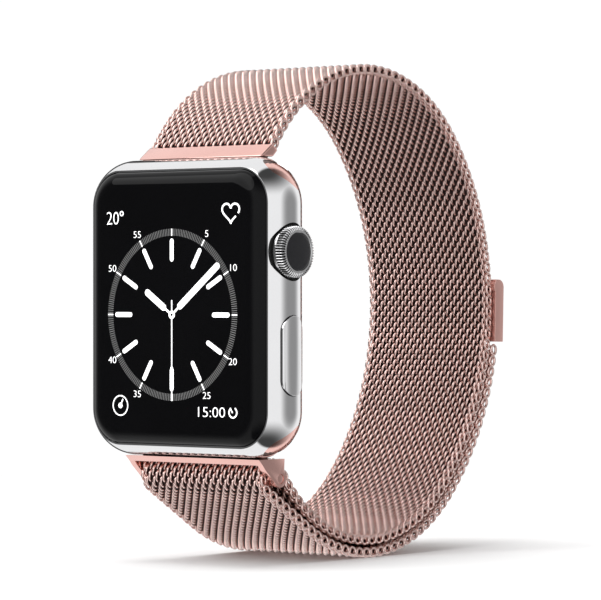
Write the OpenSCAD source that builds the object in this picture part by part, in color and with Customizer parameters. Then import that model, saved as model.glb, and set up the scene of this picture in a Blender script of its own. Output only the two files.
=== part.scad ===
// Smartwatch with a domed glass, a turning and pressing crown, a side button and a
// woven metal loop band that folds through its lower lug and closes with a magnetic clasp.
//
// The finished watch stands upright: +Z points to 12 o'clock, the display faces -Y and the
// crown side is +X. The origin is the centre of the flat seat on the back crystal.
// Case parts are drawn lying on their back (x to the crown, y to 12 o'clock, z out of the
// display) and stood up by upright(). Band parts are drawn as side profiles in (Y, Z) and
// extruded along X by across().

/* [Case] */
// Width of the case across the crown side, mm
case_w = 36.4; // [36:0.2:37]
// Height of the case from 12 to 6 o'clock, mm
case_h = 42.9; // [42.4:0.1:43]
// Corner radius of the case outline, mm
case_r = 6.8; // [6.6:0.2:7.2]
// Radius of the bulge of the case's sides, mm
bulge_r = 5.4; // [5.3:0.1:5.6]
// How far the metal's back edge stands in front of the back seat, mm
metal_back = 1.4; // [1.35:0.05:1.45]
// Depth of the metal case, mm
metal_d = 7.6; // [7.5:0.1:7.7]
// Rise of the domed glass above the metal, mm
glass_rise = 1.5; // [1.4:0.1:1.6]

/* [Crown] */
// Diameter of the crown's knob, mm
crown_d = 7.4; // [7:0.1:7.6]
// Height of the crown's axis above the case centre, mm
crown_up = 7.9; // [7.6:0.1:8]
// Press travel of the crown, mm
crown_travel = 0.3; // [0.2:0.05:0.3]

/* [Side button] */
// Length of the side button, mm
key_l = 11.3; // [10.6:0.1:11.6]
// Width of the side button, mm
key_w = 4.4; // [4:0.1:4.6]
// How far the side button's centre lies below the case centre, mm
key_down = 6.75; // [6.6:0.05:6.8]
// Press travel of the side button, mm
key_travel = 0.3; // [0.2:0.05:0.3]

/* [Band] */
// Width of the woven mesh, mm
mesh_w = 23.2; // [22:0.2:23.4]
// Thickness of the woven mesh, mm
mesh_t = 1.6; // [1.4:0.1:1.6]
// Gap between the tail and the strap that it lies on, mm
layer_gap = 0.25; // [0.2:0.05:0.3]
// Bend radius of the strap's lower front part, mm
lower_bend = 25.3; // [25.1:0.1:25.5]
// Bend radius of the strap's rear part, mm
rear_bend = 39.1; // [38.9:0.1:39.3]
// Bend radius of the strap's upper part, mm
upper_bend = 26.6; // [26.4:0.1:26.7]

/* [Hidden] */
$fn = 64;
eps = 0.01;
fit = 0.05;             // clearance of a sliding fit
big = 60;               // longer than the watch in any direction

// Case levels, measured up from the back seat
metal_front = metal_back + metal_d;
bulge_z = metal_back + 3.85;
glass_top = metal_front + glass_rise;
glass_edge = 1.9;       // depth of the glass's curved border
glass_curve = 3;        // width of the glass's curved border
glass_w = case_w - 3.6;
glass_h = case_h - 3.6;
glass_r = case_r - 1.8;
glass_bottom = glass_top - glass_edge - 0.1;
gasket_t = 0.15;
panel_w = glass_w - 4;
panel_h = glass_h - 4.1;
panel_t = 0.8;
cavity_w = 30.6;
cavity_top = 7.6;
cavity_floor = 3;
back_w = 30.4;
back_h = 32.6;
back_r = 9;
back_t = 1;
back_gasket_t = 0.2;
back_opening = 27.6;
crystal_r = 12.1;
crystal_flat = 6;       // radius of the flat seat
crystal_dome = 48.9;    // radius of the dome around the seat

// Crown, along +X at this height above the back seat
crown_z = 5.2;
stem_r = 1.1;
stem_in = 12.9;         // x of the stem's inner end
recess_floor = 16.9;    // x of the floor of the crown's recess
bush_in = 14.3;         // x of the bush's inner end
bush_r = 1.9;
knob_in = 17.25;        // x of the knob's inner face
knob_out = 19.2;        // x of the knob's outer face
cap_r = 2.7;
recess_r = 3.95;
recess_rim_r = 4.5;     // radius of the dished mouth of the recess

// Side button
key_z = 5.2;
key_floor = 16.3;       // x of the floor of the button's pocket
key_back = 16.65;       // x of the button's inner face
key_proud = 0.3;
post_up = 3.4;          // distance of the button's guide posts from its centre

// Brackets and their screws, which stand on the ledge beside the back opening
bracket_t = 0.25;       // thickness of a bracket's foot
bracket_top = 7.4;
screw_r = 0.4;
screw_x = 14.5;
screw_rows = [4.4, 11.5, -1.9, -11.8];
sensor_board_r = 10.3;
coil_r = 11.7;

// Band channels, in (Y, Z) for the upper one; the lower one is its mirror image
channel_c = [-4.6, 18.8];
channel_tilt = -33;
channel_len = 5.8;
channel_t = 2.4;
neck_t = 1.6;
neck_lean = 25;         // lean of the neck from vertical
neck_w = 22.4;
lug_face = 21.55;       // where the lug's neck meets the clamp or the frame
release_y = 17.9;       // height of the release buttons above the case centre
release_l = 6;
release_w = 1.6;
bumper_rows = [-9, 9];
bumper_w = 3;

// Lower lug's crossbar and the fold of mesh around it
bar_c = [-1.5, -24.4];
bar_r = 1.15;
fold_r = bar_r + 0.2 + mesh_t / 2;
fold_heading = 124;     // direction in which the strap runs up into the fold
cheek_in = mesh_w / 2 + 0.15;
cheek_t = 1;

// Strap: a short straight out of the clamp, then three bends down to the fold
clamp_run = 1;
lower_turn = 102;
rear_turn = 84;
upper_turn = 105;
STRAP = [[lower_bend, lower_turn], [rear_bend, rear_turn], [upper_bend, upper_turn], [0, clamp_run]];

// Clasp, on the back of the strap
clasp_h = 9.6;
clasp_t = 2.1;
clasp_w = mesh_w + 0.8;
clasp_clear = 0.1;
clasp_round = 1.2;      // rounding of the clasp's upper outer edge
tail_turn = 35;         // how far the tail follows the rear bend

// ---- curves ----

function left(h) = [-sin(h), cos(h)];
function along(h) = [cos(h), sin(h)];

// Points along a chain of bends [radius, turn], where radius 0 means a straight of length
// turn. The chain starts at p with heading h and is shifted to its left by off.
function chain(p, h, bends, off, i = 0) =
    i == len(bends) ? [] :
    let (r = bends[i][0], t = bends[i][1])
    r == 0
        ? concat([p + off * left(h), p + off * left(h) + t * along(h)],
            chain(p + t * along(h), h, bends, off, i + 1))
        : let (c = p + r * left(h), n = ceil(t / 5))
          concat([for (k = [0:n]) c - (r - off) * left(h + t * k / n)],
            chain(c - r * left(h + t), h + t, bends, off, i + 1));

function reversed(list) = [for (i = [len(list) - 1:-1:0]) list[i]];

function ribbon(p, h, bends, t) =
    concat(chain(p, h, bends, t / 2), reversed(chain(p, h, bends, -t / 2)));

// Where the strap leaves the fold, and the centres of its two lower bends
strap_start = bar_c + fold_r * along(fold_heading - 90);
strap_heading = fold_heading - 180;
lower_c = strap_start + lower_bend * left(strap_heading);
rear_heading = strap_heading + lower_turn;
rear_c = lower_c + (rear_bend - lower_bend) * left(rear_heading);

// The tail runs straight from the fold and then lies on the strap
tail_off = mesh_t + layer_gap;
tail_r = lower_bend + tail_off;
gap_v = lower_c - bar_c;
tail_heading = atan2(gap_v[1], gap_v[0]) - asin((tail_r - fold_r) / norm(gap_v));
tail_start = bar_c - fold_r * left(tail_heading);
tail_run = sqrt(pow(norm(gap_v), 2) - pow(tail_r - fold_r, 2));
TAIL = [[0, tail_run], [tail_r, rear_heading - tail_heading], [rear_bend + tail_off, tail_turn]];
fold_gap = 60;          // part of the fold left open so that the tail can swing
FOLD = [[fold_r, tail_heading + 360 - (fold_heading + fold_gap)]];

// The clamp's end of the strap
strap_total = lower_turn + rear_turn + upper_turn;
upper_c = rear_c + (upper_bend - rear_bend) * left(rear_heading + rear_turn);
clamp_heading = strap_heading + strap_total;
clamp_p = upper_c - upper_bend * left(clamp_heading) + clamp_run * along(clamp_heading);

// The clasp starts just past the tail's end and touches the strap's back at its middle
clasp_heading = rear_heading + tail_turn + 0.4 + asin(clasp_h / 2 / rear_bend);
clasp_c = rear_c - (rear_bend + mesh_t / 2 + clasp_clear + clasp_t / 2) * left(clasp_heading);

// ---- shared shapes ----

module upright() { rotate([90, 0, 0]) children(); }

module across(w) { rotate([90, 0, 90]) linear_extrude(w, center = true) children(); }

module outline(w, h, r) {
    square([w - 2 * r, h], center = true);
    square([w, h - 2 * r], center = true);
    for (x = [-1, 1], y = [-1, 1]) translate([x * (w / 2 - r), y * (h / 2 - r)]) circle(r);
}

module slab(w, h, r, low, high) {
    translate([0, 0, low]) linear_extrude(high - low) outline(w, h, r);
}

module block(low, high) { translate(low) cube(high - low); }

// Sweeps a half profile, drawn outward from the corner's centre, around a rounded outline
module around(w, h, r) {
    for (x = [0, 1], y = [0, 1]) mirror([x, 0, 0]) mirror([0, y, 0])
        translate([w / 2 - r, h / 2 - r, 0]) rotate_extrude(angle = 90) children();
    for (x = [0, 1]) mirror([x, 0, 0])
        translate([w / 2 - r, 0, 0]) rotate([90, 0, 0])
            linear_extrude(h - 2 * r, center = true) children();
    for (y = [0, 1]) mirror([0, y, 0])
        translate([0, h / 2 - r, 0]) rotate([90, 0, 90])
            linear_extrude(w - 2 * r, center = true) children();
}

module pill(l, w) {
    square([l - w, w], center = true);
    for (s = [-1, 1]) translate([s * (l - w) / 2, 0]) circle(w / 2);
}

module at_crown(x) { translate([x, crown_up, crown_z]) rotate([0, 90, 0]) children(); }

module at_key(x) { translate([x, -key_down, key_z]) rotate([0, 90, 0]) rotate(90) children(); }

// Outer body of the case, grown outward by proud
module case_body(proud = 0) {
    around(case_w, case_h, case_r) intersection() {
        union() {
            translate([case_r - bulge_r, bulge_z]) circle(bulge_r + proud, $fn = 128);
            square([case_r - bulge_r, metal_front]);
        }
        translate([0, metal_back]) square([case_r + 1, metal_d]);
    }
    translate([0, 0, metal_back + metal_d / 2])
        cube([case_w - 2 * case_r, case_h - 2 * case_r, metal_d], center = true);
}

// ---- band channel and lug profiles, in (Y, Z) for the upper lug ----

module channel_shape(clear) {
    translate(channel_c) rotate(channel_tilt) pill(channel_len + 2 * clear, channel_t + 2 * clear);
}

module neck_shape(clear) {
    translate(channel_c) rotate(-neck_lean) translate([-neck_t / 2 - clear, 0])
        square([neck_t + 2 * clear, 6]);
}

module release_prism(clear, low, high) {
    translate([0, release_y, low]) linear_extrude(high - low)
        pill(release_l + 2 * clear, release_w + 2 * clear);
}

// ---- case parts ----

module mid_case() color("gainsboro") upright() difference() {
    case_body();
    slab(glass_w + 0.1, glass_h + 0.1, glass_r, glass_bottom - gasket_t, glass_top);
    slab(panel_w + 0.6, panel_h + 0.6, 6, cavity_top, glass_top);
    slab(cavity_w, cavity_w, 4, cavity_floor, cavity_top + eps);
    slab(back_opening, back_opening + 2, 6, metal_back, cavity_floor + eps);
    slab(back_w + 0.2, back_h + 0.2, back_r, 0, metal_back + back_t);
    for (m = [0, 1]) mirror([0, m, 0]) {
        rotate([-90, 0, 0]) across(big) { channel_shape(fit); neck_shape(fit); }
        release_prism(fit, 0, 3);
    }
    at_crown(recess_floor) cylinder(h = 4, r = recess_r);
    at_crown(17.6) cylinder(h = 0.8, r1 = recess_r, r2 = recess_rim_r);
    at_crown(cavity_w / 2 - 1) cylinder(h = 3, r = bush_r + eps);
    at_key(key_floor) linear_extrude(4) pill(key_l + 2 * fit, key_w + 2 * fit);
    at_key(cavity_w / 2 - 1) cylinder(h = 3, r = 0.65);
    for (s = [-1, 1]) translate([0, s * post_up, 0]) at_key(15.6) cylinder(h = 2, r = 0.5);
    for (y = [-9, -4.2]) translate([-19, y, crown_z]) rotate([0, 90, 0])
        linear_extrude(4.5) rotate(90) pill(3.6, 0.8);
    translate([-19, 4.2, 5]) rotate([0, 90, 0]) cylinder(h = 4.5, r = 0.4);
    for (y = screw_rows) translate([screw_x, y, cavity_floor - 0.45])
        cylinder(h = 1, r = screw_r + eps);
}

module cover_glass() color("black") upright() {
    around(glass_w, glass_h, glass_r) {
        translate([0, glass_bottom]) square([glass_r, glass_top - glass_edge - glass_bottom]);
        translate([0, glass_bottom]) square([glass_r - glass_curve, glass_top - glass_bottom]);
        intersection() {
            translate([glass_r - glass_curve, glass_top - glass_edge])
                scale([glass_curve, glass_edge]) circle(1);
            translate([0, glass_bottom]) square([glass_r, glass_top]);
        }
    }
    block([-glass_w / 2 + glass_r, -glass_h / 2 + glass_r, glass_bottom],
        [glass_w / 2 - glass_r, glass_h / 2 - glass_r, glass_top]);
}

module display_gasket() color("dimgray") upright() difference() {
    slab(glass_w - 0.1, glass_h - 0.1, glass_r - 0.1, glass_bottom - gasket_t, glass_bottom);
    slab(panel_w + 0.6, panel_h + 0.6, 6, 0, glass_top);
}

module display_panel() color("black") upright()
    slab(panel_w, panel_h, 5.5, glass_bottom - panel_t, glass_bottom);

module display_flex() color("orange") upright() {
    block([5, 8, 4.75], [5.2, 12, glass_bottom - panel_t]);
    block([5.2, 8, 4.75], [8, 12, 4.9]);
}

// A component body with softened vertical corners, centred at (x, y)
module slab_at(x, y, w, h, low, high) { translate([x, y, 0]) slab(w, h, 0.8, low, high); }

module battery() color("darkslategray") upright() slab_at(-1.1, -4.6, 18.6, 20, 4.9, 7.4);

module logic_board() color("seagreen") upright() {
    block([-10.4, -14.8, 3.7], [8.6, 14.8, 4.3]);
    block([-9.4, -13.6, 4.3], [4.4, 13.6, 4.7]);
}

module haptic_motor() color("silver") upright() slab_at(-3.2, 10.4, 14.4, 8, 4.9, 7.4);

module speaker() color("gray") upright() slab_at(-13, -6.6, 4.2, 11, 3.6, 7.3);

module microphone() color("gray") upright() slab_at(-14, 4.2, 2.2, 2.8, 4, 6);

module charging_coil() color("chocolate") upright() difference() {
    translate([0, 0, 2.25]) cylinder(h = 0.6, r = coil_r);
    translate([0, 0, 2]) cylinder(h = 2, r = 8.3);
}

module sensor_board() color("seagreen") upright()
    translate([0, 0, 2.95]) cylinder(h = 0.6, r = sensor_board_r);

module sensor_lenses() color("darkgreen") upright()
    for (a = [45:90:315]) rotate(a) translate([5.4, 0, 2.25]) cylinder(h = 0.6, r = 2.2);

module back_crystal() color("slategray") upright() {
    intersection() {
        cylinder(h = 1.8, r = crystal_r);
        translate([0, 0, sqrt(pow(crystal_dome, 2) - pow(crystal_flat, 2))])
            sphere(crystal_dome, $fn = 128);
    }
    translate([0, 0, 1.8]) cylinder(h = 0.35, r = crystal_r + 0.6);
}

module back_cover() color("dimgray") upright() difference() {
    slab(back_w, back_h, back_r - 0.1, metal_back - 0.2, metal_back - 0.2 + back_t);
    cylinder(h = 3, r = crystal_r + fit);
    translate([0, 0, 1.78]) cylinder(h = 1, r = crystal_r + 0.65);
}

module back_gasket() color("black") upright() difference() {
    slab(back_w - 0.2, back_h - 0.2, back_r - 0.2,
        metal_back + back_t - back_gasket_t, metal_back + back_t);
    slab(back_opening, back_opening + 2, 6, 0, 4);
}

module crown_bush() color("goldenrod") upright() difference() {
    at_crown(bush_in) cylinder(h = recess_floor - bush_in, r = bush_r);
    at_crown(bush_in - 1) cylinder(h = 4, r = stem_r + 0.03);
    at_crown(bush_in + 0.9) cylinder(h = 3, r = stem_r + 0.53);
}

module screw_holes() {
    for (y = screw_rows) translate([screw_x, y, 2]) cylinder(h = 2, r = screw_r + eps);
}

module crown_bracket() color("silver") upright() difference() {
    union() {
        block([9.9, 3.6, cavity_floor], [10.6, 12.2, bracket_top]);
        block([10.6, 3.6, cavity_floor], [15.2, 12.2, cavity_floor + bracket_t]);
    }
    screw_holes();
}

module crown_switch() color("black") upright() {
    block([10.6, crown_up - 1.3, crown_z - 1.3], [11.4, crown_up + 1.3, crown_z + 1.3]);
    at_crown(11.4) cylinder(h = 0.25, r = 0.8);
}

module crown_encoder() color("black") upright()
    block([13, crown_up - 1, cavity_floor + bracket_t], [14.1, crown_up + 1, 4]);

module button_bracket() color("silver") upright() difference() {
    union() {
        block([11.9, -12.6, cavity_floor], [12.5, -1.2, bracket_top]);
        block([12.5, -12.6, cavity_floor], [15.2, -1.2, cavity_floor + bracket_t]);
    }
    screw_holes();
}

module button_switch() color("black") upright() {
    block([12.5, -key_down - 1.5, key_z - 1.1], [13.6, -key_down + 1.5, key_z + 1.1]);
    at_key(13.6) cylinder(h = 0.2, r = 0.7);
}

module bracket_screws() color("silver") upright()
    for (y = screw_rows) translate([screw_x, y, 0]) {
        translate([0, 0, cavity_floor - 0.4]) cylinder(h = 0.4 + bracket_t, r = screw_r);
        translate([0, 0, cavity_floor + bracket_t]) cylinder(h = 0.3, r = 0.65);
    }

// ---- crown ----

module crown_plunger() color("silver") upright() at_crown(stem_in - 0.8) cylinder(h = 0.8, r = 1.5);

module crown_knob() color("silver") upright() difference() {
    at_crown(knob_in) {
        cylinder(h = 0.3, r1 = crown_d / 2 - 0.3, r2 = crown_d / 2);
        translate([0, 0, 0.3]) cylinder(h = knob_out - knob_in - 0.6, r = crown_d / 2);
        translate([0, 0, knob_out - knob_in - 0.3])
            cylinder(h = 0.3, r1 = crown_d / 2, r2 = crown_d / 2 - 0.3);
    }
    at_crown(knob_out - 0.5) cylinder(h = 1, r = cap_r + 0.02);
    at_crown(knob_in - 1) cylinder(h = 2, r = stem_r);
}

module crown_cap() color("black") upright() at_crown(knob_out - 0.5) {
    cylinder(h = 0.5, r = cap_r);
    translate([0, 0, 0.5]) cylinder(h = 0.15, r1 = cap_r, r2 = cap_r - 0.5);
}

module crown_stem() color("silver") upright()
    at_crown(stem_in) cylinder(h = knob_in + 1 - stem_in, r = stem_r);

module crown_o_ring() color("black") upright()
    at_crown(bush_in + 1.65) rotate_extrude() translate([stem_r + 0.25, 0]) circle(0.25);

// ---- side button ----

module side_button() color("silver") upright() intersection() {
    at_key(key_back) linear_extrude(4) pill(key_l, key_w);
    case_body(key_proud);
}

module side_button_stems() color("silver") upright() {
    at_key(14.25) cylinder(h = key_back - 14.25, r = 0.6);
    for (s = [-1, 1]) translate([0, s * post_up, 0]) at_key(16)
        cylinder(h = key_back - 16, r = 0.45);
}

// ---- band release buttons and lugs ----

module release_button() color("silver") upright() difference() {
    release_prism(0, metal_back - 0.05, 3);
    rotate([-90, 0, 0]) across(big) channel_shape(fit);
}

module upper_release_button() release_button();

module lower_release_button() mirror([0, 0, 1]) release_button();

// Insert and neck of a lug, trimmed to the case's outline
module lug() color("rosybrown") difference() {
    union() {
        intersection() {
            across(big) channel_shape(0);
            upright() case_body(-0.05);
        }
        intersection() {
            across(neck_w) neck_shape(0);
            block([-big, -big, 0], [big, big, lug_face]);
        }
    }
    upright() release_prism(0.1, 0, 3.6);
    for (x = bumper_rows) translate([x, 0, 0]) across(bumper_w + 0.02) bumper_shape(0.01);
}

// Small pad let into the insert's inner face, which keeps the lug from rattling
module bumper_shape(clear) {
    translate(channel_c) rotate(channel_tilt) translate([-0.8 - clear, -channel_t / 2 - 0.5])
        square([1.6 + 2 * clear, 1 + clear]);
}

module bumpers() color("black") intersection() {
    for (x = bumper_rows) translate([x, 0, 0]) across(bumper_w) bumper_shape(0);
    across(big) channel_shape(0.02);
}

module catch() color("silver") intersection() {
    upright() release_prism(0, 0, 3);
    across(big) channel_shape(-0.02);
}

module upper_lug() lug();

module lower_lug() mirror([0, 0, 1]) lug();

module upper_bumpers() bumpers();

module lower_bumpers() mirror([0, 0, 1]) bumpers();

module upper_catch() catch();

module lower_catch() mirror([0, 0, 1]) catch();

// Bar that holds the end of the strap, its outer face running on into the mesh
module upper_clamp() color("rosybrown") across(mesh_w + 0.4) polygon([
    [-4.7, lug_face],
    clamp_p - mesh_t / 2 * left(clamp_heading),
    clamp_p + mesh_t / 2 * left(clamp_heading),
    [-1.9, lug_face]]);

// Frame of the lower lug: a bar along the case and two cheeks that carry the crossbar
module lower_frame() color("rosybrown") {
    across(2 * (cheek_in + cheek_t)) polygon([[-6.3, -lug_face], [-5.4, -22.4],
        [-4.4, -22.4], [-3.5, -21.95], [-2.6, -lug_face]]);
    for (s = [-1, 1]) translate([s * (cheek_in + cheek_t / 2), 0, 0]) difference() {
        across(cheek_t) {
            polygon([[-6.1, -lug_face], [-4.9, -23], bar_c - 1.25 * along(50),
                bar_c + 1.25 * along(50), [-0.6, -lug_face]]);
            translate(bar_c) circle(1.25);
        }
        across(2 * cheek_t) translate(bar_c) circle(0.7);
    }
}

module crossbar() color("rosybrown") {
    across(2 * cheek_in) translate(bar_c) circle(bar_r);
    across(2 * (cheek_in + cheek_t) - 0.1) translate(bar_c) circle(0.7);
}

// ---- mesh and clasp ----

module strap_mesh() color("rosybrown") across(mesh_w)
    polygon(ribbon(strap_start, strap_heading, STRAP, mesh_t));

module tail_mesh() color("rosybrown") across(mesh_w) {
    polygon(ribbon(bar_c + fold_r * along(fold_heading - 90 + fold_gap), fold_heading + fold_gap,
        FOLD, mesh_t));
    polygon(ribbon(tail_start, tail_heading, TAIL, mesh_t));
}

// A bar of the clasp, from low to high outward from its middle and h long up the strap
module clasp_bar(w, low, high, h) {
    across(w) translate(clasp_c) rotate(clasp_heading - 90)
        translate([low, -h / 2]) square([high - low, h]);
}

module clasp_housing() color("rosybrown") difference() {
    across(clasp_w) translate(clasp_c) rotate(clasp_heading - 90) {
        translate([-clasp_t / 2, -clasp_h / 2]) square([clasp_t, clasp_h - clasp_round]);
        translate([-clasp_t / 2, 0]) square([clasp_t - clasp_round, clasp_h / 2]);
        translate([clasp_t / 2 - clasp_round, clasp_h / 2 - clasp_round]) circle(clasp_round);
    }
    clasp_bar(clasp_w - 1.6, -clasp_t, clasp_t / 2 - 0.5, clasp_h - 1.6);
}

module clasp_magnets() color("dimgray")
    for (i = [-2:2]) translate([i * 4.4, 0, 0])
        clasp_bar(4, -clasp_t / 2 + 0.5, clasp_t / 2 - 0.55, clasp_h - 2.4);

module clasp_plate() color("rosybrown")
    clasp_bar(clasp_w - 1.8, -clasp_t / 2, -clasp_t / 2 + 0.45, clasp_h - 1.8);

mid_case();
cover_glass();
display_gasket();
display_panel();
display_flex();
battery();
logic_board();
haptic_motor();
speaker();
microphone();
charging_coil();
sensor_board();
sensor_lenses();
back_crystal();
back_cover();
back_gasket();
crown_bush();
crown_bracket();
crown_switch();
crown_encoder();
button_bracket();
button_switch();
bracket_screws();
crown_plunger();
crown_knob();
crown_cap();
crown_stem();
crown_o_ring();
side_button();
side_button_stems();
upper_release_button();
lower_release_button();
upper_lug();
upper_clamp();
upper_bumpers();
upper_catch();
lower_lug();
lower_frame();
crossbar();
lower_bumpers();
lower_catch();
strap_mesh();
tail_mesh();
clasp_housing();
clasp_magnets();
clasp_plate();
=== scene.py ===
"""Looks of a smartwatch on a woven metal loop band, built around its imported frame.

Lengths in this script are millimetres and MM turns them into Blender's metres. +Z points to
12 o'clock, the display faces -Y and the crown side is +X. "Out" is the distance in front of the
back seat, so it is -Y. Band curves are drawn in the (Y, Z) plane.
"""

import math
import random

import bmesh
import bpy
import numpy as np
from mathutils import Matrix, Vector


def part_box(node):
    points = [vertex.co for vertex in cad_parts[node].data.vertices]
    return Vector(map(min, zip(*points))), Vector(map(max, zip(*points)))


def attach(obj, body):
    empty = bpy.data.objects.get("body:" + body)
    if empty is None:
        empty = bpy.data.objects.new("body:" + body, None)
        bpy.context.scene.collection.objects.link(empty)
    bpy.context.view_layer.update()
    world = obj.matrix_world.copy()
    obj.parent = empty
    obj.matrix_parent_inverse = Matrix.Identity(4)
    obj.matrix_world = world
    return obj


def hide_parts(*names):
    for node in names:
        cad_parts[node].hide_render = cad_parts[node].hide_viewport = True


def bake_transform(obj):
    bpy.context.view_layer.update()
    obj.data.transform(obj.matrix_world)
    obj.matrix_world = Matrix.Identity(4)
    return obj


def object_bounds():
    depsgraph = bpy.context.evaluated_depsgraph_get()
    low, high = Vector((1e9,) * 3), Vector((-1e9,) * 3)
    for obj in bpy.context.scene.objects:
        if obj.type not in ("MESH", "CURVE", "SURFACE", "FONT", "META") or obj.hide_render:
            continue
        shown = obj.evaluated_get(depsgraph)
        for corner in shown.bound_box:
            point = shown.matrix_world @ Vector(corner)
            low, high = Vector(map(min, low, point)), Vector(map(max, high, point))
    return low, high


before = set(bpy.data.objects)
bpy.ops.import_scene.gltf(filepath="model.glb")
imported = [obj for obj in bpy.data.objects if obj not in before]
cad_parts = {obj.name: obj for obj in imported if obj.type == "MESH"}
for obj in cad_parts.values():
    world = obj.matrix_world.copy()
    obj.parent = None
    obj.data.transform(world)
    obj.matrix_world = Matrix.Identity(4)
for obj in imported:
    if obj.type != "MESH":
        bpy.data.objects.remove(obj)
cad_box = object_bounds()
random.seed(7)
MM = 0.001


def span(node):
    """Lowest and highest corner of a CAD node, in mm."""
    low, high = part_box(node)
    return low / MM, high / MM


# ---- driving dimensions ----

case_low, case_high = span("mid_case")
glass_low, glass_high = span("cover_glass")
knob_low, knob_high = span("crown_knob")
cap_low, cap_high = span("crown_cap")

CASE_W = case_high.x - case_low.x
CASE_H = case_high.z - case_low.z
CASE_R = 6.8                    # corner radius of the case
BACK = -case_high.y             # out of the metal's back edge
FRONT = -case_low.y             # out of the metal's front lip
BULGE_R = 5.4
BULGE_OUT = BACK + 3.85         # out of the widest part of the sides
BULGE_U = CASE_R - BULGE_R      # the bulge's centre, outward from the corner's centre
LIP_FILLET = 0.12
BACK_FILLET = 0.6

GLASS_W = glass_high.x - glass_low.x
GLASS_H = glass_high.z - glass_low.z
GLASS_R = CASE_R - 1.8
GLASS_TOP = -glass_low.y
GLASS_BOTTOM = -glass_high.y
GLASS_CURVE = 3.0               # width of the glass's curved border
GLASS_DROP = 1.9                # how far that border falls away
GLASS_LEDGE = 0.8               # how far the glass's flat caps reach in from the border
FIT = 0.05                      # clearance between fitted parts
SEAM = 0.12                     # visible gap around the side button

CROWN_UP = (knob_low.z + knob_high.z) / 2
CROWN_OUT = -(knob_low.y + knob_high.y) / 2
CROWN_R = (knob_high.z - knob_low.z) / 2
RECESS_R = CROWN_R + 0.25       # radius of the hole that the crown sits in
RECESS_X = 16.9                 # x of that hole's floor
BUSH_R = 1.91                   # radius of the crown bush's hole
RIDGES = 56                     # teeth of the crown
TOOTH = 0.24                    # depth of the gaps between them

MESH_W = span("strap_mesh")[1].x - span("strap_mesh")[0].x
MESH_T = 1.6                    # thickness of the mesh
WIRE_R = 0.21
WIRE_SIDES = 5                  # corners of a wire's section
FIRST_COIL = 0.55               # distance of the first coil from the mesh's start
COIL_STEP = 0.845               # distance between coils along the band
COIL_PITCH = 1.368              # advance of one turn across the band
COIL_HALF = 0.79                # half length of a coil's face stroke along the band
UPRIGHT = 0.34                  # how far the face strokes are straightened along the band
EDGE_STEP = 0.5                 # how much shorter every second coil is at each end
SHADE_SHEET_T = 0.5                    # thickness of the dark sheet of painted shade inside the mesh
SHADE_SHEET_INSET = 0.75               # how far that sheet stays from the mesh's edges


# ---- materials ----

def principled(name, **sockets):
    """A material with a Principled shader and its sockets set to constants."""
    material = bpy.data.materials.new(name)
    material.use_nodes = True
    shader = material.node_tree.nodes["Principled BSDF"]
    for socket, value in sockets.items():
        shader.inputs[socket.replace("_", " ")].default_value = value
    return material


def add_noise(material, scale, detail=4.0):
    """A noise texture in object space, for the maps below."""
    nodes = material.node_tree.nodes
    links = material.node_tree.links
    coordinates = nodes.new("ShaderNodeTexCoord")
    noise = nodes.new("ShaderNodeTexNoise")
    noise.inputs["Scale"].default_value = scale
    noise.inputs["Detail"].default_value = detail
    links.new(coordinates.outputs["Object"], noise.inputs["Vector"])
    return noise.outputs["Fac"]


def vary_roughness(material, factor, low, high):
    """Roughness that follows a factor between two values."""
    nodes = material.node_tree.nodes
    links = material.node_tree.links
    spread = nodes.new("ShaderNodeMapRange")
    spread.inputs["From Min"].default_value = 0.3
    spread.inputs["From Max"].default_value = 0.7
    spread.inputs["To Min"].default_value = low
    spread.inputs["To Max"].default_value = high
    links.new(factor, spread.inputs["Value"])
    links.new(spread.outputs["Result"], nodes["Principled BSDF"].inputs["Roughness"])


def vary_colour(material, factor, first, second):
    """Base colour that follows a factor between two colours."""
    nodes = material.node_tree.nodes
    links = material.node_tree.links
    ramp = nodes.new("ShaderNodeValToRGB")
    ramp.color_ramp.elements[0].position = 0.35
    ramp.color_ramp.elements[1].position = 0.65
    ramp.color_ramp.elements[0].color = (*first, 1)
    ramp.color_ramp.elements[1].color = (*second, 1)
    links.new(factor, ramp.inputs["Fac"])
    links.new(ramp.outputs["Color"], nodes["Principled BSDF"].inputs["Base Color"])


def add_bump(material, factor, depth):
    """Bump from a factor, with its depth in mm."""
    nodes = material.node_tree.nodes
    links = material.node_tree.links
    bump = nodes.new("ShaderNodeBump")
    bump.inputs["Strength"].default_value = 1.0
    bump.inputs["Distance"].default_value = depth * MM
    links.new(factor, bump.inputs["Height"])
    links.new(bump.outputs["Normal"], nodes["Principled BSDF"].inputs["Normal"])


def surface(name, colour, rough, metallic=0.0, grain=900.0, spread=0.03, depth=0.0, tint=0.04,
            **more):
    """A procedural finish: slight colour and roughness variation, and a fine bump if depth is set."""
    material = principled(name, Metallic=metallic, **more)
    fine = add_noise(material, grain)
    broad = add_noise(material, grain / 12, 2.0)
    darker = tuple(c * (1 - tint) for c in colour)
    lighter = tuple(min(1.0, c * (1 + tint)) for c in colour)
    vary_colour(material, broad, darker, lighter)
    vary_roughness(material, fine, max(0.01, rough - spread), rough + spread)
    if depth:
        add_bump(material, fine, depth)
    return material


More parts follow.
